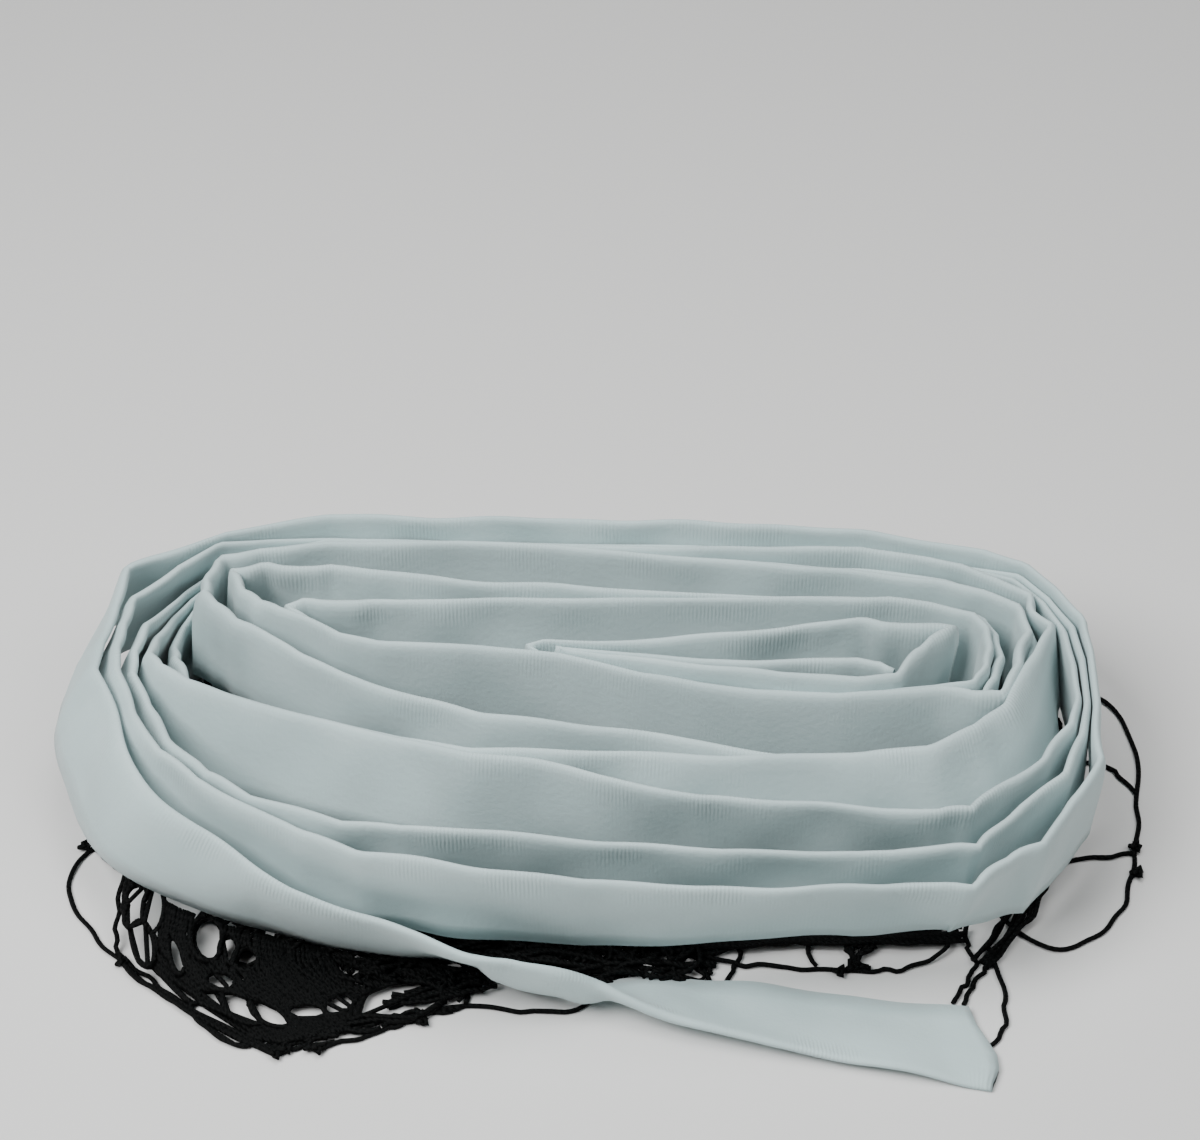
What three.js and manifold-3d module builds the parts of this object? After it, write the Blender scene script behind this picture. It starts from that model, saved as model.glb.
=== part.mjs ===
// A volleyball net rolled up for storage. The white headband is wound edge-on into a flat oval coil, its outer end
// let out in front and turned half over. The black twine net knotted to its hem lies bunched under the coil.
// Millimetres, +Z up, X along the coil, Y towards the back, floor at z = 0.
import * as THREE from "three";
import Module from "manifold-3d";

// Headband
const BAND_WIDTH = 54;
const BAND_THICKNESS = 2;
const BAND_BELLY = 1.5;
const BAND_ROWS = 4;
const STEPS_PER_QUARTER = 9;
const STEPS_PER_LOOSE_ROW = 3;
const FRONT_RIGHT_BEND = 2.3;
const ARC_RISE = 3 / 8;

// Net
const TWINE = 2.6;
const STRAND_STEP = 15;
const STRAND_STEPS_MIN = 4;
const KNOT_RADIUS = 4.6;
const HEAP_SIDES = 36;
const HEAP_BEND = 2.6;
const HEAP_RIPPLE = 0.022;
const HEAP_RIPPLES = 9;
const HEAP_PROFILE = [[0.97, 0], [1, 0.3], [0.95, 0.68], [0.84, 0.92], [0.68, 1]];
const FAN_STRANDS = 11;
const RIM_SPREAD = 0.5;
const RIM_UNEVEN = 0.35;
const RIM_BEAT = 3;
const RIM_PROFILE = [[0.8, 0.93], [1, 1.02], [1.045, 0.5], [1.045, 0]];

// Colours
const CLOTH_WHITE = 0xd5dcdc;
const TWINE_BLACK = 0x151515;

// One row for each turn from the outside in: where its folded edge lies furthest left, back, right and front,
// the height of that edge there, how square the curve between is, and the share of the roll's lean it takes.
const TURN_COLUMNS = [
  "leftX", "leftY", "backX", "backY", "rightX", "rightY", "frontX", "frontY",
  "leftZ", "backZ", "rightZ", "frontZ", "bendLeft", "bendRight", "bendFront", "lean",
];
const TURNS = [
  [-245, 15, -80, 113, 246, 8, 110, -151, 82, 78, 80, 80, 4.2, 3.4, 2.4, 1],
  [-235, 8, -140, 108, 241, 0, 100, -129, 80, 66, 76, 80, 3.4, 3.8, 2.5, 1],
  [-229, 8, -140, 104.5, 236, -2, 150, -101, 76, 69, 78, 79, 3.4, 3.8, 1.7, 1],
  [-229, 8, -140, 101, 225, 34, 65, -64, 66, 72, 81, 80, 3.4, 2.8, 2, 1],
  [-216, 12, -140, 97.5, 218, 30, 90, -53, 80, 76, 78, 75, 3.6, 2.4, 1.6, 0.95],
  [-202, 60, -140, 94, 213, 22, 130, -32, 82, 80, 80, 71, 2, 2, 1.7, 0.8],
  [-190, 70, -132, 76, 204, 17, 130, -26, 82, 80, 74, 75, 2.4, 2.5, 1.5, 0.65],
  [-163, 50, 110, 51, 194, 12, 125, -20.5, 76, 80, 80, 80, 2, 3, 1.2, 0.5],
  [-56, 13, 145, 33, 178, 26, 110, -9, 76, 81, 80, 80, 1.1, 3, 1.2, 0.2],
  [-26, 11, 138, 14, 138, 14, 138, 14, 78, 72, 72, 72, 1.3, 2, 2, 0],
];

// How far the band leans out of upright for the way its outer face looks, in degrees.
const LEAN_COLUMNS = ["heading", "lean"];
const LEAN = [
  [-180, 31], [-150, 18], [-120, -4], [-90, -13], [-45, -13], [0, 2], [90, 6], [135, 16], [180, 31],
];

// The loose end from its cut end to the coil: its folded edge and its hem.
const LOOSE_COLUMNS = ["foldX", "foldY", "foldZ", "hemX", "hemY", "hemZ"];
const LOOSE_END = [
  [182, -204, 5, 175, -156, 6],
  [130, -195, 9, 128, -155, 11],
  [79, -181, 14, 78, -151, 14],
  [47, -173, 18, 43, -148, 13],
  [21, -166, 25, 14, -143, 8],
  [-13, -162, 36, -19, -137, 4],
  [-50, -165, 46, -58, -131, 3],
  [-94, -153, 54, -106, -125, 6],
  [-141, -135, 64, -159, -118, 14],
  [-189, -104, 72, -211, -104, 24],
  [-219, -78, 77, -247, -77, 31],
  [-238, -27, 81, -268, -30, 35],
];

// Heaps of bunched net under the coil, with the pairs of strands that cross over the rim of each.
const HEAP_COLUMNS = ["x", "y", "halfLength", "halfDepth", "turn", "height", "rimPairs"];
const HEAPS = [
  [0, -12, 222, 100, 0, 14, 11],
  [66, -92, 144, 42, 0, 18, 9],
  [-190, -115, 49, 43, -25, 10, 5],
];

// Single strands that stand clear of the heaps, each a curve through two ends with two pulls between.
const STRAND_COLUMNS = ["x0", "y0", "z0", "x1", "y1", "z1", "x2", "y2", "z2", "x3", "y3", "z3"];
const STRANDS = [
  [180, 45, 1.3, 300, 110, 1.3, 276, -2, 1.3, 267, -50, 1.3],
  [266, -48, 1.3, 264, -98, 1.3, 226, -146, 1.3, 196, -96, 1.3],
  [272, -12, 1.3, 266, 4, 1.3, 258, 20, 1.3, 205, 10, 1.3],
  [266, -54, 1.3, 250, -56, 1.3, 233, -60, 1.3, 195, -62, 1.3],
  [190, -96, 6, 198, -125, 1.3, 180, -142, 1.3, 166, -149, 1.3],
  [202, -90, 1.3, 196, -118, 1.3, 186, -136, 1.3, 175, -148, 1.3],
  [180, -105, 6, 196, -130, 1.3, 206, -160, 1.3, 185, -180, 1.3],
  [40, -118, 4, 70, -128, 1.3, 95, -130, 1.3, 115, -133, 1.3],
  [115, -133, 1.3, 135, -134, 1.3, 160, -128, 1.3, 172, -104, 6],
  [85, -116, 6, 96, -130, 3, 120, -130, 3, 136, -110, 8],
  [-85, -160, 1.3, -60, -142, 1.3, -22, -172, 1.3, -4, -150, 1.3],
  [-205, -30, 1.3, -292, -40, 1.3, -262, -100, 1.3, -218, -146, 1.3],
  [-218, -146, 1.3, -190, -160, 1.3, -176, -178, 1.3, -152, -184, 1.3],
  [-152, -184, 1.3, -140, -172, 1.3, -138, -176, 1.3, -132, -181, 1.3],
  [-132, -181, 1.3, -112, -172, 1.3, -98, -168, 1.3, -85, -160, 1.3],
  [-252, -50, 1.3, -248, -58, 1.3, -243, -65, 1.3, -200, -80, 1.3],
];

// The first and the last strand of the fan that hangs from the hem at the left and spreads over the floor.
const FAN = [
  [-240, -84, 22, -252, -104, 20, -242, -122, 8, -228, -134, 1.3],
  [-176, -126, 8, -164, -150, 13, -130, -160, 7, -94, -163, 1.3],
];

// Knots, each at a height of its own radius.
const KNOT_COLUMNS = ["x", "y"];
const KNOTS = [
  [267, -50], [266, -68], [115, -133], [172, -106], [136, -112], [-257, -50],
  [-218, -146], [-152, -184], [-132, -181], [-85, -160], [-196, -150], [-176, -140],
];

const wasm = await Module();
wasm.setup();

// Rows of a table as objects with the columns' names.
const named = (columns, rows) =>
  rows.map((row) => Object.fromEntries(columns.map((column, i) => [column, row[i]])));

// Points of one quarter of a turn, from its left or right end to its front or back run, or the other way.
function quarter(end, run, bend, fromEnd) {
  return Array.from({ length: STEPS_PER_QUARTER }, (_, i) => {
    const share = fromEnd ? i / STEPS_PER_QUARTER : 1 - i / STEPS_PER_QUARTER;
    const angle = (share * Math.PI) / 2;
    return new THREE.Vector3(
      run.x + (end.x - run.x) * Math.cos(angle) ** (2 / bend),
      end.y + (run.y - end.y) * Math.sin(angle) ** (2 / bend),
      end.z + (run.z - end.z) * share,
    );
  });
}

// The lean in radians of a band whose outer face looks along this heading.
function leanAt(heading) {
  const rows = named(LEAN_COLUMNS, LEAN);
  const after = Math.max(1, rows.findIndex((row) => row.heading >= heading));
  const [low, high] = [rows[after - 1], rows[after]];
  const lean = THREE.MathUtils.mapLinear(heading, low.heading, high.heading, low.lean, high.lean);
  return THREE.MathUtils.degToRad(lean);
}

// Folded edge and hem of the coil, section by section from the outside in.
function coilSections() {
  const turns = named(TURN_COLUMNS, TURNS);
  const fold = [];
  const share = [];
  const take = (points, turn) => {
    fold.push(...points);
    share.push(...points.map(() => turn.lean));
  };
  turns.forEach((turn, i) => {
    const left = new THREE.Vector3(turn.leftX, turn.leftY, turn.leftZ);
    const back = new THREE.Vector3(turn.backX, turn.backY, turn.backZ);
    take(quarter(left, back, turn.bendLeft, true), turn);
    const next = turns[i + 1];
    if (!next) return;
    const right = new THREE.Vector3(turn.rightX, turn.rightY, turn.rightZ);
    const front = new THREE.Vector3(turn.frontX, turn.frontY, turn.frontZ);
    const inner = new THREE.Vector3(next.leftX, next.leftY, next.leftZ);
    take(quarter(right, back, turn.bendRight, false), turn);
    take(quarter(right, front, FRONT_RIGHT_BEND, true), turn);
    take(quarter(inner, front, turn.bendFront, false), turn);
  });
  return fold.map((point, i) => {
    const travel = fold[Math.min(i + 1, fold.length - 1)].clone().sub(fold[Math.max(i - 1, 0)]).setZ(0).normalize();
    const out = new THREE.Vector3(-travel.y, travel.x, 0);
    const lean = share[i] * leanAt(THREE.MathUtils.radToDeg(Math.atan2(out.y, out.x)));
    const hem = point.clone().addScaledVector(out, BAND_WIDTH * Math.sin(lean));
    hem.z -= BAND_WIDTH * Math.cos(lean);
    return { fold: point, hem };
  });
}

// Folded edge and hem of the loose end, section by section from its cut end to the coil.
function looseSections() {
  const rows = named(LOOSE_COLUMNS, LOOSE_END);
  const folds = new THREE.CatmullRomCurve3(rows.map((r) => new THREE.Vector3(r.foldX, r.foldY, r.foldZ)));
  const hems = new THREE.CatmullRomCurve3(rows.map((r) => new THREE.Vector3(r.hemX, r.hemY, r.hemZ)));
  const count = (rows.length - 1) * STEPS_PER_LOOSE_ROW;
  return Array.from({ length: count + 1 }, (_, i) => ({ fold: folds.getPoint(i / count), hem: hems.getPoint(i / count) }));
}

// A closed solid through rings of points, each ring running the same way round, with flat fans on both ends.
function loft(rings) {
  const sides = rings[0].length;
  const points = rings.flat();
  const faces = [];
  for (let ring = 0; ring < rings.length - 1; ring++) {
    for (let side = 0; side < sides; side++) {
      const a = ring * sides + side;
      const b = ring * sides + ((side + 1) % sides);
      faces.push(a, b, a + sides, b, b + sides, a + sides);
    }
  }
  const last = (rings.length - 1) * sides;
  for (let side = 1; side < sides - 1; side++) {
    faces.push(0, side + 1, side, last, last + side, last + side + 1);
  }
  return { positions: new Float32Array(points.flatMap((p) => p.toArray())), faces: new Uint32Array(faces) };
}

// The headband as one strip with a thickness, its cross-section bowed out where its edges come closer than its width.
function headbandLoft() {
  const sections = [...looseSections(), ...coilSections()];
  const surface = sections.map(({ fold, hem }, i) => {
    const before = sections[Math.max(i - 1, 0)];
    const after = sections[Math.min(i + 1, sections.length - 1)];
    const travel = after.fold.clone().add(after.hem).sub(before.fold).sub(before.hem);
    const chord = hem.clone().sub(fold);
    const slack = Math.max(BAND_WIDTH - chord.length(), 0);
    const belly = Math.max(Math.sqrt(ARC_RISE * chord.length() * slack), BAND_BELLY);
    const out = travel.cross(chord).normalize();
    return Array.from({ length: BAND_ROWS }, (_, row) => {
      const down = row / (BAND_ROWS - 1);
      const point = fold.clone().addScaledVector(chord, down).addScaledVector(out, 4 * belly * down * (1 - down));
      point.z = Math.max(point.z, BAND_THICKNESS / 2);
      return point;
    });
  });
  const rings = surface.map((rows, i) => {
    const before = surface[Math.max(i - 1, 0)];
    const after = surface[Math.min(i + 1, surface.length - 1)];
    const offsets = rows.map((point, row) => {
      const travel = after[row].clone().sub(before[row]);
      const chord = rows[Math.min(row + 1, BAND_ROWS - 1)].clone().sub(rows[Math.max(row - 1, 0)]);
      return travel.cross(chord).setLength(BAND_THICKNESS / 2);
    });
    const outer = rows.map((point, row) => point.clone().add(offsets[row]));
    const inner = rows.map((point, row) => point.clone().sub(offsets[row])).reverse();
    const ring = [...inner, ...outer].reverse();
    ring.forEach((point) => (point.z = Math.max(point.z, 0)));
    return ring;
  });
  return loft(rings);
}

// A solid that other solids can be joined to.
const solidOf = ({ positions, faces }) =>
  new wasm.Manifold(new wasm.Mesh({ numProp: 3, vertProperties: positions, triVerts: faces }));

// A point of a heap with a rippled oval outline, at a share of its reach and a share of its height.
function heapPoint(row, angle, reach, rise) {
  const turn = THREE.MathUtils.degToRad(row.turn);
  const ripple = reach * (1 + HEAP_RIPPLE * Math.sin(HEAP_RIPPLES * angle + row.x));
  const cos = Math.cos(angle);
  const sin = Math.sin(angle);
  const long = row.halfLength * ripple * Math.sign(cos) * Math.abs(cos) ** (2 / HEAP_BEND);
  const deep = row.halfDepth * ripple * Math.sign(sin) * Math.abs(sin) ** (2 / HEAP_BEND);
  return new THREE.Vector3(
    row.x + long * Math.cos(turn) - deep * Math.sin(turn),
    row.y + long * Math.sin(turn) + deep * Math.cos(turn),
    row.height * rise,
  );
}

// A low heap, flat below and rounded above.
function heap(row) {
  const rings = HEAP_PROFILE.map(([reach, rise]) =>
    Array.from({ length: HEAP_SIDES }, (_, side) =>
      heapPoint(row, (side / HEAP_SIDES) * 2 * Math.PI, reach, rise),
    ),
  );
  return solidOf(loft(rings));
}

// The strands that cross over a heap's rim in pairs, from its top down to the floor.
function rimStrands(row) {
  return Array.from({ length: 2 * row.rimPairs }, (_, i) => {
    const place = Math.floor(i / 2) + RIM_UNEVEN * Math.sin(RIM_BEAT * i);
    const step = (2 * Math.PI) / row.rimPairs;
    const slant = (i % 2 ? 1 : -1) * RIM_SPREAD * step;
    const points = RIM_PROFILE.map(([reach, rise], at) =>
      heapPoint(row, place * step + (slant * at) / (RIM_PROFILE.length - 1), reach, rise),
    );
    points[points.length - 1].setZ(TWINE / 2);
    return points.flatMap((point) => point.toArray());
  });
}

// A strand of square twine that lies level, along a curve.
function strand(row) {
  const ends = [0, 3, 6, 9].map((i) => new THREE.Vector3(row[i], row[i + 1], row[i + 2]));
  const curve = new THREE.CubicBezierCurve3(...ends);
  const half = TWINE / 2;
  const steps = Math.max(STRAND_STEPS_MIN, Math.round(curve.getLength() / STRAND_STEP));
  const rings = Array.from({ length: steps + 1 }, (_, i) => {
    const point = curve.getPoint(i / steps);
    const travel = curve.getTangent(i / steps);
    const side = new THREE.Vector3(-travel.y, travel.x, 0).setLength(half);
    const up = travel.clone().cross(side).setLength(half);
    const corner = (across, above) => {
      const made = point.clone().addScaledVector(side, across).addScaledVector(up, above);
      made.z = Math.max(made.z, 0);
      return made;
    };
    return [corner(1, 1), corner(-1, 1), corner(-1, -1), corner(1, -1)];
  });
  return solidOf(loft(rings));
}

// A knot lying on the floor.
function knot({ x, y }) {
  const ball = new THREE.IcosahedronGeometry(KNOT_RADIUS, 0).translate(x, y, KNOT_RADIUS);
  const corners = new Map();
  const positions = [];
  const faces = [];
  const source = ball.getAttribute("position");
  for (let i = 0; i < source.count; i++) {
    const corner = new THREE.Vector3().fromBufferAttribute(source, i);
    const key = corner.toArray().map((value) => value.toFixed(3)).join();
    if (!corners.has(key)) {
      corners.set(key, corners.size);
      positions.push(...corner.toArray());
    }
    faces.push(corners.get(key));
  }
  return solidOf({ positions: new Float32Array(positions), faces: new Uint32Array(faces) });
}

// Heaps, strands and knots as one piece of twine.
function netSolid() {
  const [first, last] = FAN;
  const fan = Array.from({ length: FAN_STRANDS }, (_, i) => {
    const share = i / (FAN_STRANDS - 1);
    return first.map((value, column) => THREE.MathUtils.lerp(value, last[column], share));
  });
  const heaps = named(HEAP_COLUMNS, HEAPS);
  const pieces = [
    ...heaps.map(heap),
    ...[...heaps.flatMap(rimStrands), ...STRANDS, ...fan].map(strand),
    ...named(KNOT_COLUMNS, KNOTS).map(knot),
  ];
  return pieces.reduce((all, piece) => all.add(piece));
}

// A named mesh of one material.
function piece(name, positions, faces, colour, roughness) {
  const geometry = new THREE.BufferGeometry();
  geometry.setAttribute("position", new THREE.BufferAttribute(positions, 3));
  geometry.setIndex(new THREE.BufferAttribute(faces, 1));
  geometry.computeVertexNormals();
  const mesh = new THREE.Mesh(geometry, new THREE.MeshStandardMaterial({ color: colour, roughness }));
  mesh.name = name;
  return mesh;
}

const band = headbandLoft();
const netMesh = netSolid().getMesh();
const rolled = new THREE.Group();
rolled.add(piece("headband", band.positions, band.faces, CLOTH_WHITE, 0.8));
rolled.add(piece("net", netMesh.vertProperties, netMesh.triVerts, TWINE_BLACK, 0.7));

// The origin is on the floor under the middle of the roll's box.
const box = new THREE.Box3().setFromObject(rolled);
const middle = box.getCenter(new THREE.Vector3());
rolled.children.forEach((mesh) => mesh.geometry.translate(-middle.x, -middle.y, -box.min.z));

export default rolled;
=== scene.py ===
"""A volleyball net rolled up for storage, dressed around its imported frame.

The headband is one long doubled strip of cloth, wound edge-on into a flat oval coil with its outer end let
out in front. The twine net that is knotted to its hem lies bunched under the coil, with loose strands around
it. Tables are in millimetres on the floor plan of the roll: X along the coil, Y to the back, Z up.
"""

import logging
import math
from collections.abc import Sequence
from dataclasses import dataclass, field
from enum import Enum
from typing import NamedTuple

import bpy
import numpy as np
from mathutils.kdtree import KDTree
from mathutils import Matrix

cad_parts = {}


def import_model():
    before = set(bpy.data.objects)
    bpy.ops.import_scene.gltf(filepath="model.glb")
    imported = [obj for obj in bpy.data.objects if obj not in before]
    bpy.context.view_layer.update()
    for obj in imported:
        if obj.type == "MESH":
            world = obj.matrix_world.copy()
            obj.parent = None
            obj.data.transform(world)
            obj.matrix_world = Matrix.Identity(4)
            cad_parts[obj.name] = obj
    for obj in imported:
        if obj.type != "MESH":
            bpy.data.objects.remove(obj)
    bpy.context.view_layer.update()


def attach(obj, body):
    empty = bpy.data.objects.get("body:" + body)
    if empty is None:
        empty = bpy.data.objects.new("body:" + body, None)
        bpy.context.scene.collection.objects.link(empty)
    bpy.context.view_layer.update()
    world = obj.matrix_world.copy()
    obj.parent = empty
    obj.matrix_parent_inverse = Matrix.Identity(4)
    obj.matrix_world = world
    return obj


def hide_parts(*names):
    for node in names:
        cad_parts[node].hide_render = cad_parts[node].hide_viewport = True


LOG = logging.getLogger("rolled_net")
BODY = "root"
UV_NAME = "UVMap"
MM = 0.001
# The finished headband's width, from its fold to its hem.
BAND_WIDTH = 54.0
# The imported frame's origin on the floor plan.
PLAN_ORIGIN = np.array([1.52, -42.31, 0.0])
UP = np.array([0.0, 0.0, 1.0])
# Keeps a vector of no length from dividing by zero.
TINY = 1e-9
# Turns a cross product with an upright line off zero.
NUDGE = 1e-6
# A wave texture repeats after this share of a unit at scale 1.
WAVE_PERIOD = math.tau / 20
# Sockets of the node that maps one range to another.
RANGE_SOCKETS = ("From Min", "From Max", "To Min", "To Max")
# A shallow bow's height squared is this share of its chord times the slack in it.
BOW_SHARE = 0.375

Row = tuple[float, ...]
Span = tuple[float, float]
Settings = dict[str | int, object]
Array = np.ndarray
Random = np.random.Generator
Piece = bpy.types.Object
Material = bpy.types.Material
Tree = bpy.types.NodeTree
Socket = bpy.types.NodeSocket


class Slot(Enum):
    """Names of the two finishes."""

    CLOTH = "headband_cloth"
    TWINE = "net_twine"


class Heap(NamedTuple):
    """A heap of bunched net: its middle, half sizes, turn in degrees, height, and how many strands it has."""

    x: float
    y: float
    long: float
    deep: float
    turn: float
    height: float
    strands: int


# The coil, turn by turn and crease by crease from the outside in: x, y, z of the folded edge and the lean of
# the band out of upright, in degrees.
TURNS = (
    (
        (-247, -5, 82, 31), (-247, 15, 82, 31), (-243, 43, 82, 28), (-240, 72, 81, 22), (-193, 100, 80, 6),
        (-141, 115, 79, -3), (-31, 113, 78, -8), (52, 111, 78, -8), (135, 103, 79, -6), (198, 85, 80, -3),
        (218, 76, 80, 0), (231, 57, 80, 4), (242, 35, 80, 3), (244, 10, 80, 2), (243, -26, 80, 2),
        (240, -49, 80, 2), (241, -64, 79, 0), (208, -123, 80, -9), (191, -132, 80, -12), (172, -147, 80, -19),
        (120, -151, 80, -21), (46, -150, 80, -14), (-9, -146, 80, -9), (-46, -140, 81, -6),
        (-74, -135, 81, -4), (-112, -128, 81, -3), (-141, -115, 81, 0), (-175, -92, 81, 4),
        (-192, -80, 81, 10), (-213, -61, 81, 16), (-226, -34, 81, 24),
    ),
    (
        (-237, -4, 81, 30), (-239, 13, 81, 30), (-238, 30, 81, 28), (-235, 49, 80, 22), (-214, 74.5, 79, 16),
        (-196, 94, 78, 6), (-170, 103, 72, 2), (-141, 110, 67, -3), (-31, 107, 66, -8), (52, 105, 66, -8),
        (135, 98, 68, -6), (196, 80.5, 72, -3), (214.5, 72.5, 75, 0), (227.5, 54, 76, 4), (237, 32, 77, 3),
        (239.5, 8, 78, 3), (238, -25, 79, 3), (235, -46, 79, 2), (222, -74, 79, -4), (193, -104, 79, -8),
        (177, -123, 80, -11), (121, -129, 80, -11), (56, -126, 80, -11), (0, -122, 80, -11),
        (-47, -114, 80, -10), (-94, -112, 80, -8), (-122, -107, 80, -4), (-166, -90, 79, 2),
        (-188, -72, 78, 8), (-208, -49, 76, 14), (-221, -24, 75, 22),
    ),
    (
        (-230, 0, 75, 27), (-231, 16, 75, 26), (-227, 35, 75, 20), (-219, 57, 68, 15), (-212, 72, 64, 13),
        (-194.5, 92, 64, 6), (-170, 99.5, 67, 2), (-141, 106, 70, -3), (-31, 103, 69, -8), (52, 100, 69, -8),
        (135, 94, 71, -6), (194, 77, 74, -3), (211.5, 69.5, 75, 0), (224.5, 50.5, 76, 4), (232.5, 29, 77, 4),
        (234.5, 4, 78, 4), (234, -22, 79, 4), (229, -40, 79, 2), (213, -64, 79, -2), (193, -83, 79, -5),
        (176, -99, 80, -8), (160, -101, 80, -8), (95, -96, 80, -8), (47, -91, 80, -6), (0, -78, 80, 0),
        (-29, -67, 80, 6), (-63, -61, 80, 15), (-97, -52, 80, 21), (-146, -35, 80, 24), (-182, -21, 80, 24),
        (-203, -10, 80, 22), (-218, 2, 79, 20),
    ),
    (
        (-224, 11, 78, 16), (-222.5, 33, 68, 14), (-217, 54.5, 62, 12), (-210, 69.5, 60, 10),
        (-193, 90, 62, 5), (-169, 96.5, 68, 2), (-141, 101.5, 73, -3), (-31, 98, 72, -8), (52, 92, 77, -8),
        (134, 88, 80, -6), (169, 80, 80, -4), (185, 75, 80, -2), (218.5, 52, 80, 3), (218, 42, 79, 5),
        (226, 31, 79, 8), (216, 11, 79, 19), (205, -12, 79, 27), (198, -27, 79, 31), (182, -42, 80, 31),
        (159, -57, 80, 26), (125, -62, 80, 20), (62, -64, 80, 17), (3, -61, 80, 9), (-39, -58, 79, 6),
        (-63, -55.5, 77, 10), (-97, -47, 76, 15), (-147, -30, 75, 18), (-183, -16, 74, 17),
        (-203, -4, 73, 14),
    ),
    (
        (-213, 20, 66, 10), (-216.5, 38, 57, 8), (-213.5, 53, 56, 7), (-207, 67.5, 58, 6),
        (-191, 87.5, 64, 4), (-169, 94, 72, 1), (-140, 98, 75, -6), (-31, 94.5, 74, -8), (52, 86.5, 73, -8),
        (134, 79.5, 73, -6), (178, 70, 73, -5), (204, 55, 73, -4), (214.5, 45, 72, -3), (219, 26, 70, 0),
        (212, 3, 68, 7), (201, -20, 66, 15), (184, -34, 66, 20), (155, -47, 68, 18), (110, -56, 72, 14),
        (87, -58, 75, 12), (48, -53, 78, 8), (10, -44, 79, 6), (-19, -39, 79, 6), (-58, -34, 79, 8),
        (-88, -23, 79, 8), (-128, -5, 80, 8), (-149, 8, 80, 8), (-165, 19, 81, 8), (-181, 33, 81, 8),
        (-194, 46, 82, 8),
    ),
    (
        (-204, 52, 82, 8), (-201, 64, 82, 6), (-194, 80, 81, 2), (-174, 87, 80, -3), (-139, 92, 80, -6),
        (-72, 93, 80, -9), (-21, 90, 80, -9), (21, 83, 80, -9), (51, 80, 80, -9), (82, 76, 80, -8),
        (123, 71, 80, -7), (173, 63, 80, -6), (195, 55, 80, -7), (212, 44, 80, -8), (215, 25, 80, -7),
        (208, 2, 80, -4), (197, -18, 80, 3), (185, -19, 80, 7), (167, -16, 80, 8), (118, -21, 80, 8),
        (78, -18, 80, 8), (49, -13, 80, 8), (20, -6, 80, 7), (0, 2, 80, 6), (-20, 8, 80, 6), (-60, 14, 80, 6),
        (-110, 17, 80, 6), (-130, 22, 81, 6), (-146, 33, 81, 7), (-161, 41, 81, 8), (-171, 44, 82, 8),
        (-181, 55, 82, 8),
    ),
    (
        (-190, 70, 82, 6), (-171, 74, 82, 0), (-148, 71, 81, -5), (-138, 73, 81, -8), (-102, 69, 80, -10),
        (-71, 63, 80, -10), (-20, 59, 80, -10), (20, 55, 80, -9), (46, 54, 79, -8), (80, 55, 76, -8),
        (147, 55.5, 74, -6), (170, 51, 74, -6), (193, 42, 74, -7), (199, 30, 74, -8), (199.5, 14, 74, -7),
        (196, -1, 74, -4), (189, -13, 74, 2), (167, -12, 75, 6), (118, -17, 75, 7), (78, -14, 75, 7),
        (49, -9, 75, 7), (20, -2, 75, 6), (0, 5, 75, 5), (-20, 12, 75, 5), (-60, 18, 75, 5),
        (-110, 21, 75, 5), (-130, 26, 76, 5), (-146, 37, 77, 5),
    ),
    (
        (-158, 46, 78, 2), (-150, 49, 79, -4), (-101, 49, 79, -9), (-20, 50, 79, -9), (20, 50, 79, -8),
        (61, 50.5, 79, -8), (147, 51, 79, -6), (167, 47, 79, -6), (189, 39, 79, -8), (194, 30, 79, -9),
        (194, 15, 79, -8), (191, 0, 79, -5), (184, -9, 77, 1), (165, -8, 73, 4), (118, -13, 72, 5),
        (78, -10, 72, 5), (49, -5.5, 72, 5), (20, 1, 72, 4), (0, 8, 72, 4), (-18, 13.5, 72, 3),
        (-30, 16.5, 73, 3),
    ),
    (
        (-37, 20, 75, 1), (-28, 21.5, 77, -1), (0, 17.5, 79, -3), (20, 18.5, 79, -4), (70, 24, 80, -5),
        (100, 29, 80, -5), (120, 32, 80, -5), (132, 34, 80, -5), (150, 31, 80, -4), (178, 29, 80, 0),
        (162, 14, 80, 4), (147, -6, 80, 4), (128, -9, 80, 3), (89, -6, 80, 3), (59, -1, 80, 2),
        (30, 4.5, 79, 1), (0, 11, 77, 1), (-16, 15, 76, 1),
    ),
    (
        (-23, 17.8, 76, 0), (0, 14.2, 76, -2), (30, 10.5, 76, -3), (50, 8, 76, -3), (99, 7, 76, -3),
        (129, 9, 76, -3), (139, 7, 76, 0), (146, 2, 75, 0),
    ),
)

# The loose end from its cut end to the coil: folded edge x, y, z and hem x, y, z.
LOOSE_END = (
    (182, -206, 2, 175, -156, 2),
    (130, -195, 6, 128, -151, 3),
    (79, -184, 9, 78, -142, 3),
    (47, -176, 12, 48, -139, 3),
    (26, -169, 15, 26, -138, 3),
    (9, -164, 19, 6, -141, 3),
    (-4, -160, 26, -8, -154, 3),
    (-19, -161, 36, -21, -148, 2),
    (-38, -163, 42, -40, -138, 2),
    (-57, -163.5, 46, -59, -131, 2),
    (-76, -156, 48.5, -79, -126, 2),
    (-103, -146.5, 52, -106, -122, 3),
    (-141, -135, 60, -146, -117, 8),
    (-189, -104, 72, -208, -103, 22),
    (-219, -78, 77, -247, -77, 31),
    (-238, -27, 81, -268, -30, 35),
)

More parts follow.
